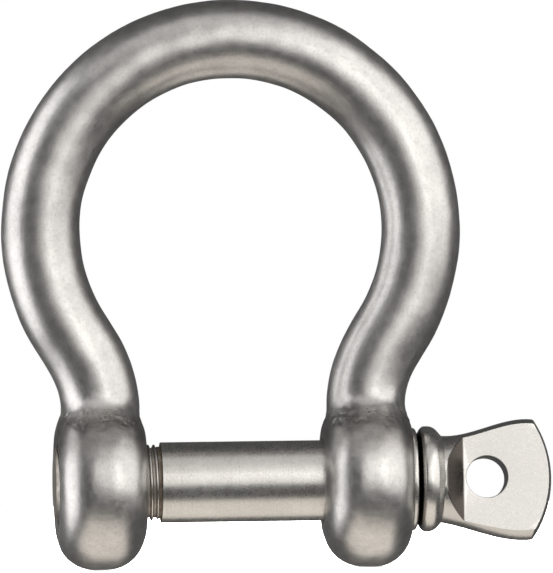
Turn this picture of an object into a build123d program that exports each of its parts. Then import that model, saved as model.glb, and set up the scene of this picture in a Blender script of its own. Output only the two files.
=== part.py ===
from build123d import *
from math import acos, atan2, cos, degrees, sin, sqrt
import os

# A screw-pin bow shackle: a round-bar bow with two drilled ears, and a one-piece pin with a
# collar and a flattened eye head. The pin lies along X and its axis passes through the origin,
# midway between the ears. +X runs to the pin's head and +Z to the crown of the bow.

# Bow
bar_dia = 10.2
bow_inside_width = 38.6
inside_length = 46.4
jaw_width = 22.8
shoulder_radius = 15.1
shoulder_straight = 3.3

# Ears. Each is a little wider than the bar, so that the bar ends inside it.
ear_spare = 1.2
leg_offset = 0.1
ear_wall = 6.05
ear_inner_round = 4.9
ear_outer_round = 4.8
inner_round_share = 0.47
outer_round_share = 0.5
ear_blend = 3.4
spot_face_spare = 1.5
spot_face_depth = 0.3
bore_chamfer = 0.25

# Shank of the pin
pin_dia = 10.3
pin_clearance = 0.1
shank_setback = 2.0
relief_width = 0.5
relief_depth = 0.55

# Thread on the pin's end, right-handed
thread_step = 0.275
thread_pitch = 0.75
thread_depth = 0.42
thread_crest = 0.12
thread_clearance = 0.06
thread_overhang = 0.2
thread_end_chamfer = 0.6
tip_chamfer = 0.3

# Collar and neck of the pin
seat_clearance = 0.05
seat_ring_height = 1.4
seat_ring_width = 0.65
groove_width = 0.7
groove_depth = 0.8
collar_height = 1.6
collar_width = 2.65
collar_slope = 1.0
collar_root = 0.4
collar_edge = 0.35
neck_dia = 11.1

# Eye head of the pin
head_length = 14.25
head_depth = 10.6
head_shoulder = 2.8
head_shoulder_height = 12.0
head_belly = 8.6
head_belly_height = 15.1
head_end_height = 12.9
end_spare = 1.0
head_drop = 0.33
head_turn = 4.5
ramp_start = 0.1
ramp_length = 2.7
tab_thickness = 4.9
end_radius = 13.6
end_bevel = 12
corner_round = 0.3
eye_dia = 5.3
eye_from_neck = 5.75

# The pin's innermost steel
core_dia = 3.0
core_length = 30.0
core_clearance = 0.1

# Derived sizes
bar_radius = bar_dia / 2
bow_radius = bow_inside_width / 2 + bar_radius
ear_width = bar_dia + ear_spare
ear_inner_x = jaw_width / 2
ear_outer_x = ear_inner_x + ear_width
leg_x = ear_inner_x + ear_width / 2 - leg_offset
pin_radius = pin_dia / 2
ear_radius = pin_radius + ear_wall
plain_bore_radius = pin_radius + pin_clearance
crown_centre_z = pin_radius + inside_length - bow_inside_width / 2
thread_radius = pin_radius - thread_step
root_radius = thread_radius - thread_depth
tooth_root = thread_pitch - thread_crest
tapped_bore_radius = thread_radius + thread_clearance
relief_radius = pin_radius - relief_depth
pin_tip_x = -(ear_outer_x + thread_overhang)
shank_start_x = -(ear_inner_x - shank_setback)
thread_end_x = shank_start_x - relief_width
seat_x = ear_outer_x - spot_face_depth + seat_clearance
groove_x = seat_x + seat_ring_width
seat_ring_radius = pin_radius + seat_ring_height
collar_radius = pin_radius + collar_height
collar_x = groove_x + groove_width
neck_x = collar_x + collar_width

os.makedirs("parts", exist_ok=True)


def bow_path():
    """Centre line of the bar: up one leg, out over the shoulder, round the crown and back."""
    reach = bow_radius + shoulder_radius
    lean = acos((leg_x + shoulder_radius) / sqrt(reach**2 + shoulder_straight**2))
    lean -= atan2(shoulder_straight, reach)
    bend_z = crown_centre_z - reach * sin(lean) - shoulder_straight * cos(lean)
    turn = degrees(lean)
    with BuildLine(Plane.XZ) as path:
        leg = Line((leg_x, 0), (leg_x, bend_z))
        shoulder = JernArc(leg @ 1, leg % 1, shoulder_radius, -turn)
        slope = Line(shoulder @ 1, shoulder @ 1 + (shoulder % 1) * shoulder_straight)
        crown = JernArc(slope @ 1, slope % 1, bow_radius, 180 + 2 * turn)
        far_slope = Line(crown @ 1, crown @ 1 + (crown % 1) * shoulder_straight)
        far_shoulder = JernArc(far_slope @ 1, far_slope % 1, shoulder_radius, -turn)
        Line(far_shoulder @ 1, (-leg_x, 0))
    return path.wire()


# The bow: one round bar bent to shape, with a rounded ear forged on each end and a soft
# blend where each leg runs into its ear.
bar_line = bow_path()
with BuildPart() as bow_body:
    with BuildSketch(Plane(origin=bar_line @ 0, z_dir=bar_line % 0)):
        Circle(bar_radius)
    sweep(path=bar_line)
    with BuildSketch(Plane.XY) as ear:
        with BuildLine():
            Polyline(
                (ear_inner_x, 0),
                (ear_inner_x, ear_radius),
                (ear_outer_x, ear_radius),
                (ear_outer_x, 0),
                close=True,
            )
        make_face()
        inner_corner = ear.vertices().group_by(Axis.Y)[-1].sort_by(Axis.X)[0]
        fillet(inner_corner, min(ear_inner_round, ear_width * inner_round_share))
        outer_corner = ear.vertices().group_by(Axis.Y)[-1].sort_by(Axis.X)[-1]
        fillet(outer_corner, min(ear_outer_round, ear_width * outer_round_share))
    revolve(axis=Axis.X)
    mirror(about=Plane.YZ)
    fillet(bow_body.edges().filter_by(GeomType.BSPLINE), ear_blend)

    # The plain bore is in the ear beside the pin's head, the tapped bore in the far ear. Both
    # are chamfered at their mouths, and spot-faced on the outside.
    for inner_x, outer_x, bore_radius in (
        (ear_inner_x, ear_outer_x, plain_bore_radius),
        (-ear_inner_x, -ear_outer_x, tapped_bore_radius),
    ):
        outward = inner_x / ear_inner_x
        face_x = outer_x - outward * spot_face_depth
        with BuildSketch(Plane.XY):
            with BuildLine():
                Polyline(
                    (inner_x - outward * bore_chamfer, 0),
                    (inner_x - outward * bore_chamfer, bore_radius + 2 * bore_chamfer),
                    (inner_x + outward * bore_chamfer, bore_radius),
                    (face_x - outward * bore_chamfer, bore_radius),
                    (face_x, bore_radius + bore_chamfer),
                    (face_x, bore_radius + spot_face_spare),
                    (outer_x + outward * bore_chamfer, bore_radius + spot_face_spare),
                    (outer_x + outward * bore_chamfer, 0),
                    close=True,
                )
            make_face()
        revolve(axis=Axis.X, mode=Mode.SUBTRACT)

# The ridge of the thread: one tooth carried along a helix from the pin's tip to the relief,
# then cut square at both ends and chamfered at the tip.
with BuildPart() as thread_ridge:
    with BuildLine():
        helix = Helix(
            pitch=thread_pitch,
            height=thread_end_x - pin_tip_x,
            radius=root_radius,
            center=(pin_tip_x, 0, 0),
            direction=(1, 0, 0),
        )
    outward = helix @ 0 - Vector(pin_tip_x, 0, 0)
    with BuildSketch(Plane(origin=helix @ 0, x_dir=outward, z_dir=helix % 0)):
        with BuildLine():
            Polyline(
                (-thread_depth / 4, -tooth_root / 2),
                (thread_depth, -thread_crest / 2),
                (thread_depth, thread_crest / 2),
                (-thread_depth / 4, tooth_root / 2),
                close=True,
            )
        make_face()
    sweep(path=helix, is_frenet=True)
    with BuildSketch(Plane.XY):
        with BuildLine():
            Polyline(
                (pin_tip_x, 0),
                (pin_tip_x, thread_radius - thread_end_chamfer),
                (pin_tip_x + 2 * thread_end_chamfer, thread_radius + thread_end_chamfer),
                (thread_end_x, thread_radius + thread_end_chamfer),
                (thread_end_x, 0),
                close=True,
            )
        make_face()
    revolve(axis=Axis.X, mode=Mode.INTERSECT)

# The eye head: the round neck swells into an oval, which is flattened on both faces behind
# two ramps. Its end is bowed and bevelled, and an eye goes through it. The head stands a few
# degrees off the plane of the bow when the thread is tight.
head_sections = (
    (-collar_slope / 2, neck_dia, neck_dia, 0),
    (head_shoulder, head_depth, head_shoulder_height, head_drop),
    (head_belly, head_depth, head_belly_height, head_drop),
    (head_length + end_spare, head_depth, head_end_height, head_drop),
)
face_plane = Plane.XZ.rotated((-head_turn, 0, 0))
side_plane = Plane.XY.rotated((-head_turn, 0, 0))
with BuildPart() as eye_head:
    for along, depth, height, drop in head_sections:
        with BuildSketch(Plane.YZ.offset(neck_x + along).rotated((0, 0, -head_turn))):
            with Locations((0, -drop)):
                Ellipse(depth / 2, height / 2)
    loft()

    # Flat faces and ramps.
    with BuildSketch(side_plane):
        with BuildLine():
            Polyline(
                (neck_x + ramp_start, neck_dia / 2),
                (neck_x + ramp_start + ramp_length, tab_thickness / 2),
                (neck_x + 2 * head_length, tab_thickness / 2),
                (neck_x + 2 * head_length, neck_dia),
                (neck_x + ramp_start, neck_dia),
                close=True,
            )
        make_face()
        mirror(about=Plane.XZ)
    extrude(amount=head_belly_height, both=True, mode=Mode.SUBTRACT)

    # Bowed end.
    with BuildSketch(face_plane):
        with Locations((neck_x + head_length - end_radius, 0)):
            Circle(end_radius)
    extrude(amount=head_depth / 2, both=True, taper=end_bevel, mode=Mode.INTERSECT)

    corners = eye_head.edges().filter_by(GeomType.BSPLINE)
    fillet(
        corners.filter_by_position(Axis.X, neck_x + 0.8 * head_length, neck_x + head_length),
        corner_round,
    )

    # Eye.
    with BuildSketch(face_plane):
        with Locations((neck_x + eye_from_neck, 0)):
            Circle(eye_dia / 2)
    extrude(amount=tab_thickness, both=True, mode=Mode.SUBTRACT)

# The pin in one piece: a turned shank with a relief behind the thread, and a collar with a
# groove. The thread and the eye head are parts of it.
with BuildPart() as screw_pin:
    with BuildSketch(Plane.XY):
        with BuildLine():
            Polyline(
                (pin_tip_x, 0),
                (pin_tip_x, root_radius - tip_chamfer),
                (pin_tip_x + tip_chamfer, root_radius),
                (thread_end_x, root_radius),
                (thread_end_x, relief_radius),
                (shank_start_x, relief_radius),
                (shank_start_x, pin_radius),
                (seat_x, pin_radius),
                (seat_x, seat_ring_radius),
                (groove_x, seat_ring_radius),
                (groove_x + groove_width / 2, seat_ring_radius - groove_depth),
                (collar_x, collar_radius - collar_edge),
                (collar_x + collar_edge, collar_radius),
                (neck_x - collar_slope, collar_radius),
                (neck_x + collar_root, neck_dia / 2 - collar_root),
                (neck_x + collar_root, 0),
                close=True,
            )
        make_face()
    revolve(axis=Axis.X)
    add(thread_ridge.part)
    add(eye_head.part)

    # The closed space in the shank that the core runs in.
    Cylinder(
        core_dia / 2 + core_clearance,
        core_length + 2 * core_clearance,
        rotation=(0, 90, 0),
        mode=Mode.SUBTRACT,
    )

# The core: the innermost steel of the shank, which slides with the pin but doesn't turn.
with BuildPart() as pin_core:
    Cylinder(core_dia / 2, core_length, rotation=(0, 90, 0))

bow_body.part.label = "bow_body"
screw_pin.part.label = "screw_pin"
pin_core.part.label = "pin_core"
for piece in (bow_body, screw_pin, pin_core):
    print(piece.part.label, piece.part.is_valid, len(piece.solids()), piece.part.volume)
    export_step(piece.part, f"parts/{piece.part.label}.step")
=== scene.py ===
from math import cos, exp, hypot, radians, sin

import bmesh
import bpy
from mathutils import Matrix, Vector


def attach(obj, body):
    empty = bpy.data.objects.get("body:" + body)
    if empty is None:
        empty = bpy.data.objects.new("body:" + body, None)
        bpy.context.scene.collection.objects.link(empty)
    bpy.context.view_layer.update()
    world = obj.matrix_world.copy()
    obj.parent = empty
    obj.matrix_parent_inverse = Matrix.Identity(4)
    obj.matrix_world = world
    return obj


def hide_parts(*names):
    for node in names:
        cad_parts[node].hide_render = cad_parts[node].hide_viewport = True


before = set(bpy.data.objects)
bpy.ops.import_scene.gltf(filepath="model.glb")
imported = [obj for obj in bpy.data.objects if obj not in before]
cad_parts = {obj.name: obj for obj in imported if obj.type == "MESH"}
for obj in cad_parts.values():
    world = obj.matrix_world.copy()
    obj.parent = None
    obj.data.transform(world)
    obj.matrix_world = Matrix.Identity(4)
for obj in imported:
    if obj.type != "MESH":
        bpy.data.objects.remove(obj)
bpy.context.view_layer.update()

# ---------------------------------------------------------------------------------------------
# Bow. One stainless bar bent hot, with an ear upset and drilled on each end, then tumbled and
# blasted to an even satin. Faint hammer waves stay in its skin, and small pits and scale stay
# where each leg runs into its ear.
# ---------------------------------------------------------------------------------------------
bore_skin_radius = 0.0068
bore_skin_fade = 0.0008
seam_z = 0.0082
seam_spread = 0.0007
voxel = 0.0003
wave_size = 0.0055
wave_depth = 0.00016
pit_size = 0.0006
pit_depth = 0.00014


def copy_of_node(node_name, piece_name):
    """A copy of a CAD piece, with its loose triangles merged into one closed skin."""
    piece = bpy.data.objects.new(piece_name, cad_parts[node_name].data.copy())
    bpy.context.scene.collection.objects.link(piece)
    bpy.ops.object.select_all(action="DESELECT")
    bpy.context.view_layer.objects.active = piece
    piece.select_set(True)
    bpy.ops.mesh.customdata_custom_splitnormals_clear()
    bpy.ops.object.mode_set(mode="EDIT")
    bpy.ops.mesh.select_all(action="SELECT")
    bpy.ops.mesh.remove_doubles(threshold=0.000002)
    bpy.ops.object.mode_set(mode="OBJECT")
    return piece


def apply_modifier(piece, kind, **settings):
    """Adds a modifier to a piece, sets it and applies it at once."""
    modifier = piece.modifiers.new(kind.lower(), kind)
    for name, value in settings.items():
        setattr(modifier, name, value)
    bpy.context.view_layer.objects.active = piece
    bpy.ops.object.modifier_apply(modifier=modifier.name)


def weigh(piece, group_name, weight_at):
    """A vertex group whose weight at each vertex comes from a function of its place."""
    group = piece.vertex_groups.new(name=group_name)
    for vertex in piece.data.vertices:
        weight = weight_at(vertex.co)
        if weight > 0.01:
            group.add([vertex.index], min(weight, 1.0), "REPLACE")


def off_the_bores(place):
    """Full on the outer skin, nothing in the two bores and at their mouths."""
    return min(1.0, max(0.0, (hypot(place.y, place.z) - bore_skin_radius) / bore_skin_fade))


def along_the_seams(place):
    """Strong in an uneven belt where each leg runs into its ear."""
    wander = 0.0005 * sin(place.x * 1900.0) + 0.0004 * sin(place.y * 2600.0 + place.x * 5000.0)
    return exp(-(((place.z - seam_z - wander) / seam_spread) ** 2))


bow = copy_of_node("bow_body", "forged_bow")
apply_modifier(bow, "REMESH", mode="VOXEL", voxel_size=voxel, adaptivity=0.0, use_smooth_shade=True)
weigh(bow, "skin", off_the_bores)
weigh(bow, "seams", along_the_seams)
apply_modifier(bow, "SMOOTH", factor=0.5, iterations=3, vertex_group="skin")
hammer_waves = bpy.data.textures.new("hammer waves", "CLOUDS")
hammer_waves.noise_scale = wave_size
hammer_waves.noise_depth = 1
apply_modifier(
    bow, "DISPLACE", texture=hammer_waves, texture_coords="LOCAL", vertex_group="skin",
    strength=wave_depth, mid_level=1.0,
)
scale_pits = bpy.data.textures.new("scale pits", "CLOUDS")
scale_pits.noise_scale = pit_size
scale_pits.noise_depth = 2
scale_pits.contrast = 2.0
apply_modifier(
    bow, "DISPLACE", texture=scale_pits, texture_coords="LOCAL", vertex_group="seams",
    strength=pit_depth, mid_level=1.0,
)


def put(tree, kind, inputs=None, **settings):
    """Adds a shader node, sets it, and fills or links its inputs by name or number."""
    node = tree.nodes.new(kind)
    for name, value in settings.items():
        setattr(node, name, value)
    for key, value in (inputs or {}).items():
        if isinstance(value, bpy.types.NodeSocket):
            tree.links.new(value, node.inputs[key])
        else:
            node.inputs[key].default_value = value
    return node


def reckon(tree, operation, first, second=0.0):
    """One Math node, clamped to nothing, with numbers or sockets going in."""
    return put(tree, "ShaderNodeMath", {0: first, 1: second}, operation=operation).outputs[0]


def times(tree, *factors):
    """The product of several numbers or sockets."""
    product = factors[0]
    for factor in factors[1:]:
        product = reckon(tree, "MULTIPLY", product, factor)
    return product


def blend(tree, share, first, second, blend_type="MIX"):
    """Mixes two colours by a share, each a colour or a socket."""
    inputs = {0: share, 6: first, 7: second}
    node = put(tree, "ShaderNodeMix", inputs, data_type="RGBA", blend_type=blend_type)
    return node.outputs[2]


def between(tree, value, low, high, low_out=0.0, high_out=1.0):
    """Maps a value from one span to another with soft ends."""
    inputs = {0: value, 1: low, 2: high, 3: low_out, 4: high_out}
    node = put(tree, "ShaderNodeMapRange", inputs, interpolation_type="SMOOTHSTEP")
    return node.outputs[0]


def noise(tree, vector, scale, detail=2.0, roughness=0.5):
    """A noise value over the surface, with its size in cells a millimetre."""
    inputs = {"Vector": vector, "Scale": scale, "Detail": detail, "Roughness": roughness}
    return put(tree, "ShaderNodeTexNoise", inputs).outputs["Fac"]


def new_group(name, inputs, outputs):
    """An empty shader group with named sockets, and its inner ends."""
    group = bpy.data.node_groups.new(name, "ShaderNodeTree")
    for socket_name, kind, value in inputs:
        socket = group.interface.new_socket(socket_name, in_out="INPUT", socket_type=kind)
        if value is not None:
            socket.default_value = value
    for socket_name, kind in outputs:
        group.interface.new_socket(socket_name, in_out="OUTPUT", socket_type=kind)
    start = group.nodes.new("NodeGroupInput").outputs
    end = group.nodes.new("NodeGroupOutput").inputs
    return group, start, end


FLOAT = "NodeSocketFloat"
COLOUR = "NodeSocketColor"
VECTOR = "NodeSocketVector"

# The skin of worked stainless steel: warm and cool clouds, a fine grain of dents, dark specks.
steel_skin, given, made = new_group(
    "worked steel skin",
    [
        ("Place", VECTOR, None),
        ("Light Tone", COLOUR, (0.66, 0.64, 0.615, 1.0)),
        ("Deep Tone", COLOUR, (0.50, 0.485, 0.47, 1.0)),
        ("Speck Tone", COLOUR, (0.16, 0.15, 0.14, 1.0)),
        ("Grain Size", FLOAT, 3.2),
        ("Specks", FLOAT, 0.5),
        ("Smoothness", FLOAT, 0.0),
    ],
    [("Color", COLOUR), ("Roughness", FLOAT), ("Height", FLOAT)],
)
tree = steel_skin
clouds = between(tree, noise(tree, given["Place"], 0.16, 3.0), 0.35, 0.65)
mottle = between(tree, noise(tree, given["Place"], 0.9, 3.0, 0.6), 0.3, 0.7)
grain = noise(tree, given["Place"], given["Grain Size"], 3.0, 0.65)
fine_grain = noise(tree, given["Place"], times(tree, given["Grain Size"], 2.3), 2.0)
tone_share = reckon(tree, "ADD", times(tree, clouds, 0.55), times(tree, mottle, 0.45))
tone = blend(tree, tone_share, given["Deep Tone"], given["Light Tone"])
dimming = between(tree, grain, 0.30, 0.52, 0.24, 0.0)
dimmed = blend(tree, dimming, tone, given["Deep Tone"], "MULTIPLY")
cells = put(tree, "ShaderNodeTexVoronoi", {"Vector": given["Place"], "Scale": 1.5, "Randomness": 1.0})
speck = between(tree, cells.outputs["Distance"], 0.03, 0.16, 1.0, 0.0)
sparse = between(tree, noise(tree, given["Place"], 0.7, 2.0), 0.54, 0.66)
speck = times(tree, speck, sparse, given["Specks"])
tree.links.new(blend(tree, speck, dimmed, given["Speck Tone"]), made["Color"])
uneven = between(tree, mottle, 0.0, 1.0, -0.012, 0.02)
grainy = between(tree, grain, 0.3, 0.7, 0.05, -0.04)
rough = reckon(tree, "ADD", reckon(tree, "ADD", uneven, grainy), 0.355)
rough = reckon(tree, "SUBTRACT", rough, given["Smoothness"])
tree.links.new(reckon(tree, "ADD", rough, times(tree, speck, 0.3)), made["Roughness"])
height = reckon(tree, "ADD", times(tree, grain, 0.75), times(tree, fine_grain, 0.25))
tree.links.new(reckon(tree, "SUBTRACT", height, times(tree, speck, 0.8)), made["Height"])


def start_material(name):
    """A material with its shader, and the place on the piece in millimetres."""
    material = bpy.data.materials.new(name)
    material.use_nodes = True
    tree = material.node_tree
    coordinates = put(tree, "ShaderNodeTexCoord")
    inputs = {"Vector": coordinates.outputs["Object"], "Scale": (1000.0, 1000.0, 1000.0)}
    place = put(tree, "ShaderNodeMapping", inputs).outputs["Vector"]
    return material, tree, tree.nodes["Principled BSDF"], place


def apart(tree, place):
    """How far along the pin a place is, its height, and its distance from the pin's axis."""
    numbers = put(tree, "ShaderNodeSeparateXYZ", {0: place}).outputs
    flat = put(tree, "ShaderNodeCombineXYZ", {"Y": numbers[1], "Z": numbers[2]}).outputs[0]
    radius = put(tree, "ShaderNodeVectorMath", {0: flat}, operation="LENGTH").outputs["Value"]
    return numbers[0], numbers[2], radius


blasted, tree, shader, place = start_material("blasted stainless steel")
x, z, radius = apart(tree, place)
skin = put(tree, "ShaderNodeGroup", node_tree=steel_skin)
tree.links.new(place, skin.inputs["Place"])
skin.inputs["Grain Size"].default_value = 3.0
skin.inputs["Specks"].default_value = 0.10

# Dark crumbs of scale left in the seam between each leg and its ear.
wander = times(tree, reckon(tree, "SUBTRACT", noise(tree, place, 0.35, 3.0), 0.5), 4.0)
off_seam = reckon(tree, "SUBTRACT", z, seam_z * 1000)
from_seam = reckon(tree, "ABSOLUTE", reckon(tree, "ADD", off_seam, wander))
crumbs = between(tree, noise(tree, place, 4.2, 3.0, 0.7), 0.50, 0.60)
patches = between(tree, noise(tree, place, 0.5, 2.0), 0.36, 0.58)
seam = times(tree, between(tree, from_seam, 0.2, 1.3, 1.0, 0.0), crumbs, patches)

# Painted shade: a darker belt over the upper part of the ears, and near-black walls at the mouths of the
# bores.
belt_start_z = 2.0
belt_full_z = 5.6
belt_fades_z = 7.8
belt_end_z = 9.0
jaw_side_x = 10.0
ear_side_x = 11.0
bore_wall_radius = 5.3
bore_mouth_x = 11.3
from_middle = reckon(tree, "ABSOLUTE", x)
# Painted shade over the upper front of each ear, between the leg and the middle of the ear.
painted_shade_belt = times(
    tree,
    between(tree, z, belt_start_z, belt_full_z),
    between(tree, z, belt_end_z, belt_fades_z),
    between(tree, from_middle, jaw_side_x, ear_side_x),
    between(tree, noise(tree, place, 0.35, 3.0), 0.2, 0.7, 0.6, 1.0),
)
# Painted shade on the walls of the bores, near their mouths.
painted_bore_shade = times(
    tree,
    between(tree, radius, bore_wall_radius + 0.4, bore_wall_radius),
    between(tree, from_middle, bore_mouth_x, bore_mouth_x + 0.6),
)
# Painted shade: the belt multiplies the skin colour darker.
tint = blend(tree, painted_shade_belt, skin.outputs["Color"], (0.52, 0.505, 0.50, 1.0), "MULTIPLY")
tint = blend(tree, times(tree, seam, 0.85), tint, (0.11, 0.095, 0.08, 1.0))
# Painted shade: the bore walls go near-black brown.
tint = blend(tree, times(tree, painted_bore_shade, 0.8), tint, (0.10, 0.085, 0.07, 1.0))
tree.links.new(tint, shader.inputs["Base Color"])
roughness = reckon(tree, "ADD", skin.outputs["Roughness"], times(tree, seam, 0.25))
tree.links.new(roughness, shader.inputs["Roughness"])
shader.inputs["Metallic"].default_value = 1.0
height = reckon(tree, "SUBTRACT", skin.outputs["Height"], times(tree, seam, 1.6))
bump = put(tree, "ShaderNodeBump", {"Strength": 0.5, "Distance": 0.00003, "Height": height})
tree.links.new(bump.outputs["Normal"], shader.inputs["Normal"])

bow.data.materials.clear()
bow.data.materials.append(blasted)
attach(bow, "bow")
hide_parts("bow_body")

# ---------------------------------------------------------------------------------------------
# Pin. Turned from one stainless bar: a threaded end with a relief behind it, a smooth shank, a
# ring and a barrel collar, and an eye head pressed flat and ground. Its edges are lightly
# broken. The thread keeps a little oil in its roots.
# ---------------------------------------------------------------------------------------------
# These places are in millimetres.
thread_end_x = -9.9
ring_x = 22.4
collar_x = 23.9
barrel_x = 25.55
neck_x = 26.55
eye_x = 32.3
eye_radius = 2.65
ramp_end_x = 29.35
ramp_steepness = 3.1 / 2.7
flat_depth = 2.45
head_turn = radians(4.5)

pin = copy_of_node("screw_pin", "turned_pin")


def select_sharp_edges(piece, wanted, sharper_than):
    """Selects, in edit mode, the wanted edges that fold by more than an angle."""
    bpy.ops.object.mode_set(mode="EDIT")
    bpy.ops.mesh.select_mode(type="EDGE")
    bpy.ops.mesh.select_all(action="DESELECT")
    mesh = bmesh.from_edit_mesh(piece.data)
    for edge in mesh.edges:
        if len(edge.link_faces) == 2 and edge.calc_face_angle(0.0) > sharper_than:
            edge.select = wanted((edge.verts[0].co + edge.verts[1].co) / 2)
    bmesh.update_edit_mesh(piece.data)


def break_edges(piece, wanted, sharper_than, width, segments):
    """Rounds the chosen sharp edges of a piece."""
    select_sharp_edges(piece, wanted, sharper_than)
    bpy.ops.mesh.bevel(offset=width, segments=segments, clamp_overlap=True)
    bpy.ops.object.mode_set(mode="OBJECT")


def on_the_barrel(place):
    """The collar's shoulder towards the head."""
    return abs(place.x * 1000 - barrel_x) < 0.05 and hypot(place.y, place.z) > 0.0063


def on_the_collar(place):
    """The other edges of the collar and the ring."""
    return ring_x < place.x * 1000 < barrel_x - 0.9 and hypot(place.y, place.z) > 0.0061


def round_the_eye(place):
    """Both mouths of the eye."""
    off_eye = hypot(place.x * 1000 - eye_x, place.z * 1000 * cos(head_turn))
    return off_eye < eye_radius + 0.25


def on_the_head(place):
    """The head's other edges."""
    return place.x * 1000 > neck_x + 0.9 and not round_the_eye(place)


bpy.ops.object.mode_set(mode="EDIT")
bpy.ops.mesh.select_all(action="SELECT")
bpy.ops.mesh.dissolve_limited(angle_limit=radians(0.4))
bpy.ops.object.mode_set(mode="OBJECT")
break_edges(pin, on_the_barrel, radians(20), 0.0008, 5)
break_edges(pin, on_the_collar, radians(20), 0.0002, 3)
break_edges(pin, round_the_eye, radians(30), 0.00016, 2)
break_edges(pin, on_the_head, radians(24), 0.0003, 3)
bpy.ops.object.mode_set(mode="EDIT")
bpy.ops.mesh.select_all(action="SELECT")
bpy.ops.mesh.quads_convert_to_tris()
bpy.ops.object.mode_set(mode="OBJECT")
bpy.ops.object.shade_smooth_by_angle(angle=radians(26))
apply_modifier(pin, "WEIGHTED_NORMAL", keep_sharp=True, weight=70)

turned, tree, shader, place = start_material("turned stainless steel")
x, _, radius = apart(tree, place)
skin = put(tree, "ShaderNodeGroup", node_tree=steel_skin)
tree.links.new(place, skin.inputs["Place"])
skin.inputs["Light Tone"].default_value = (0.68, 0.66, 0.63, 1.0)
skin.inputs["Deep Tone"].default_value = (0.58, 0.56, 0.53, 1.0)
skin.inputs["Grain Size"].default_value = 4.0
skin.inputs["Specks"].default_value = 0.12
skin.inputs["Smoothness"].default_value = 0.06

head = between(tree, x, neck_x - 0.2, neck_x + 0.2)
body = reckon(tree, "SUBTRACT", 1.0, head)

# Tool marks that ring the turned part.
across = put(tree, "ShaderNodeCombineXYZ", {"X": x, "Y": times(tree, radius, 0.3)}).outputs[0]
rings = times(tree, noise(tree, across, 5.0, 3.0, 0.7), body)


def slanted(tree, place, slant, stretch):
    """The place turned by a slant and stretched, for scratches that run one way."""
    inputs = {"Vector": place, "Rotation": (0.0, radians(slant), 0.0), "Scale": stretch}
    return put(tree, "ShaderNodeMapping", inputs).outputs[0]


# Faint scratches from grinding on the head's flats, in two slants.
scratch_a = between(tree, noise(tree, slanted(tree, place, 38, (0.35, 1.0, 7.0)), 1.2, 2.0), 0.60, 0.70)
scratch_b = between(tree, noise(tree, slanted(tree, place, -24, (0.25, 1.0, 9.0)), 1.0, 2.0), 0.62, 0.70)
scratch = times(tree, reckon(tree, "MAXIMUM", scratch_a, scratch_b), head)

# Oil and dirt in the thread's roots and the relief, and painted shade in the groove by the collar.
in_thread = times(
    tree,
    between(tree, x, thread_end_x + 0.05, thread_end_x - 0.05),
    between(tree, radius, 4.74, 4.50),
    0.7,
)
from_relief = reckon(tree, "ABSOLUTE", reckon(tree, "SUBTRACT", x, thread_end_x + 0.25))
in_relief = times(tree, between(tree, from_relief, 0.38, 0.22), between(tree, radius, 5.1, 4.75))
from_groove = reckon(tree, "ABSOLUTE", reckon(tree, "SUBTRACT", x, collar_x - 0.35))
painted_groove_shade = times(tree, between(tree, from_groove, 0.5, 0.3), between(tree, radius, 6.5, 6.25))
grime = reckon(tree, "MAXIMUM", in_thread, in_relief)
grime = times(tree, grime, between(tree, noise(tree, place, 1.1, 3.0), 0.2, 0.6, 0.65, 1.0))

# Painted shade darkens the two ramps of the head.
tilt = {0: place, 1: (0.0, -cos(head_turn), sin(head_turn))}
depth = put(tree, "ShaderNodeVectorMath", tilt, operation="DOT_PRODUCT").outputs["Value"]
depth = reckon(tree, "ABSOLUTE", depth)
before_flat = times(tree, reckon(tree, "SUBTRACT", ramp_end_x, x), ramp_steepness)
ramp_surface = reckon(tree, "ADD", before_flat, flat_depth)
off_ramp = reckon(tree, "ABSOLUTE", reckon(tree, "SUBTRACT", depth, ramp_surface))
painted_ramp_shade = times(
    tree,
    between(tree, off_ramp, 0.08, 0.22, 1.0, 0.0),
    between(tree, depth, flat_depth + 0.02, flat_depth + 0.17),
    between(tree, x, neck_x + 0.4, neck_x + 0.6),
)

ground = blend(tree, times(tree, head, 0.8), skin.outputs["Color"], (0.62, 0.60, 0.575, 1.0))
tint = blend(tree, times(tree, scratch, 0.04), ground, (0.86, 0.85, 0.83, 1.0))
tint = blend(tree, between(tree, rings, 0.30, 0.5, 0.22, 0.0), tint, (0.42, 0.40, 0.37, 1.0))
tint = blend(tree, times(tree, grime, 0.85), tint, (0.15, 0.105, 0.065, 1.0))
# Painted shade: the groove by the collar goes near black.
tint = blend(tree, times(tree, painted_groove_shade, 0.95), tint, (0.02, 0.017, 0.015, 1.0))
# Painted shade: the ramps' colour is multiplied far down.
tint = blend(tree, painted_ramp_shade, tint, (0.21, 0.19, 0.18, 1.0), "MULTIPLY")
tree.links.new(tint, shader.inputs["Base Color"])
roughness = reckon(tree, "ADD", skin.outputs["Roughness"], times(tree, grime, 0.3))
roughness = reckon(tree, "ADD", roughness, times(tree, scratch, -0.02))
tree.links.new(roughness, shader.inputs["Roughness"])
shader.inputs["Metallic"].default_value = 1.0
height = times(tree, skin.outputs["Height"], between(tree, head, 0.0, 1.0, 0.6, 0.12))
height = reckon(tree, "ADD", height, times(tree, rings, 0.5))
height = reckon(tree, "SUBTRACT", height, times(tree, scratch, 0.12))
bump = put(tree, "ShaderNodeBump", {"Strength": 0.4, "Distance": 0.00002, "Height": height})
tree.links.new(bump.outputs["Normal"], shader.inputs["Normal"])

pin.data.materials.clear()
pin.data.materials.append(turned)
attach(pin, "pin")
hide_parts("screw_pin")

# The innermost steel of the shank is closed in by the pin, and has the same finish.
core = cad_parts["pin_core"]
core.data.materials.clear()
core.data.materials.append(turned)

# ---------------------------------------------------------------------------------------------
# Camera. It stands level, a little to the left of square on, far off with a long lens.
# ---------------------------------------------------------------------------------------------
camera_azimuth = radians(-4.5)
camera_roll = radians(0.74)
camera_distance = 2.0
view_height = 0.07332
view_right = 0.005782
view_up = 0.024887
towards_camera = Vector((sin(camera_azimuth), -cos(camera_azimuth), 0.0))
to_the_right = Vector((cos(camera_azimuth), sin(camera_azimuth), 0.0))
upwards = Vector((0.0, 0.0, 1.0))

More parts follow.
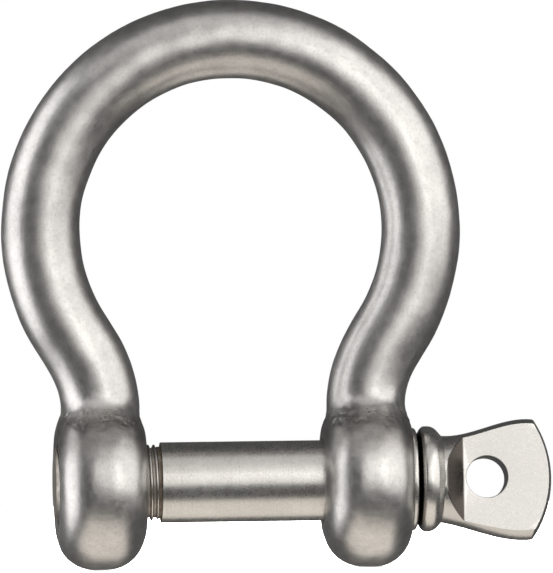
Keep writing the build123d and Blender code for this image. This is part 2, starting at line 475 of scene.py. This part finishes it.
camera_data = bpy.data.cameras.new("camera")
camera = bpy.data.objects.new("camera", camera_data)
bpy.context.scene.collection.objects.link(camera)
bpy.context.scene.camera = camera
camera_data.lens = camera_data.sensor_width * camera_distance / view_height
camera_data.clip_start = 0.1
camera_data.clip_end = 20.0
target = to_the_right * view_right + upwards * view_up
turn = (-towards_camera).to_track_quat("-Z", "Y").to_matrix() @ Matrix.Rotation(-camera_roll, 3, "Z")
camera.matrix_world = Matrix.Translation(target + towards_camera * camera_distance) @ turn.to_4x4()

# ---------------------------------------------------------------------------------------------
# Studio. Large soft boxes to the right and left, a warm reflector below, a pale floor lit from
# within, and a white room.
# ---------------------------------------------------------------------------------------------
light_distance = 1.5
floor_z = -0.01122


def soft_box(name, right_angle, up_angle, width, height, brightness, colour, in_gloss=True):
    """A large soft light, placed by its angles from the camera's line and facing the shackle."""
    across = radians(right_angle)
    above = radians(up_angle)
    level = towards_camera * cos(across) + to_the_right * sin(across)
    direction = level * cos(above) + upwards * sin(above)
    light = bpy.data.lights.new(name, "AREA")
    light.shape = "RECTANGLE"
    light.size = width
    light.size_y = height
    light.energy = brightness * width * height
    light.color = colour
    box = bpy.data.objects.new(name, light)
    bpy.context.scene.collection.objects.link(box)
    facing = (-direction).to_track_quat("-Z", "Y").to_matrix().to_4x4()
    box.matrix_world = Matrix.Translation(target + direction * light_distance) @ facing
    box.visible_camera = False
    box.visible_glossy = in_gloss
    return box


soft_box("key box", 12, 10, 1.0, 0.95, 3.2, (1.0, 0.99, 0.975))
soft_box("right box", 55, 18, 2.6, 1.8, 4.7, (1.0, 0.99, 0.975))
soft_box("upper box", 14, 60, 2.6, 1.1, 2.1, (1.0, 0.99, 0.98))
soft_box("left box", -88, 6, 1.4, 2.4, 6.0, (0.985, 0.99, 1.0))
soft_box("low reflector", 20, -86, 2.2, 2.0, 3.0, (1.0, 0.94, 0.86))
soft_box("floor light", 0, 80, 2.5, 2.5, 34.0, (1.0, 0.99, 0.98), in_gloss=False)

bpy.ops.object.select_all(action="DESELECT")
bpy.ops.mesh.primitive_circle_add(
    vertices=96, radius=0.6, fill_type="NGON", location=(0.0, 0.0, floor_z)
)
floor = bpy.context.object
floor.name = "floor"
floor.visible_glossy = False
floor.visible_shadow = False
paper, tree, shader, place = start_material("pale floor paper")
fibres = noise(tree, place, 0.4, 4.0, 0.6)
tone = blend(tree, fibres, (0.90, 0.89, 0.88, 1.0), (0.93, 0.925, 0.92, 1.0))
tree.links.new(tone, shader.inputs["Base Color"])
tree.links.new(between(tree, fibres, 0.2, 0.8, 0.8, 0.9), shader.inputs["Roughness"])
shader.inputs["Emission Color"].default_value = (1.0, 1.0, 1.0, 1.0)
shader.inputs["Emission Strength"].default_value = 0.7
floor.data.materials.append(paper)

room = bpy.data.worlds.new("white room")
bpy.context.scene.world = room
room.use_nodes = True
tree = room.node_tree
tree.nodes.clear()
seen = put(tree, "ShaderNodeBackground", {"Color": (1.0, 1.0, 1.0, 1.0), "Strength": 1.0})
dim = put(tree, "ShaderNodeBackground", {"Color": (0.95, 0.97, 1.0, 1.0), "Strength": 0.09})
ray = put(tree, "ShaderNodeLightPath")
mixed = put(
    tree, "ShaderNodeMixShader",
    {0: ray.outputs["Is Camera Ray"], 1: dim.outputs[0], 2: seen.outputs[0]},
)
put(tree, "ShaderNodeOutputWorld", {"Surface": mixed.outputs[0]})
bpy.context.scene.view_settings.view_transform = "Standard"
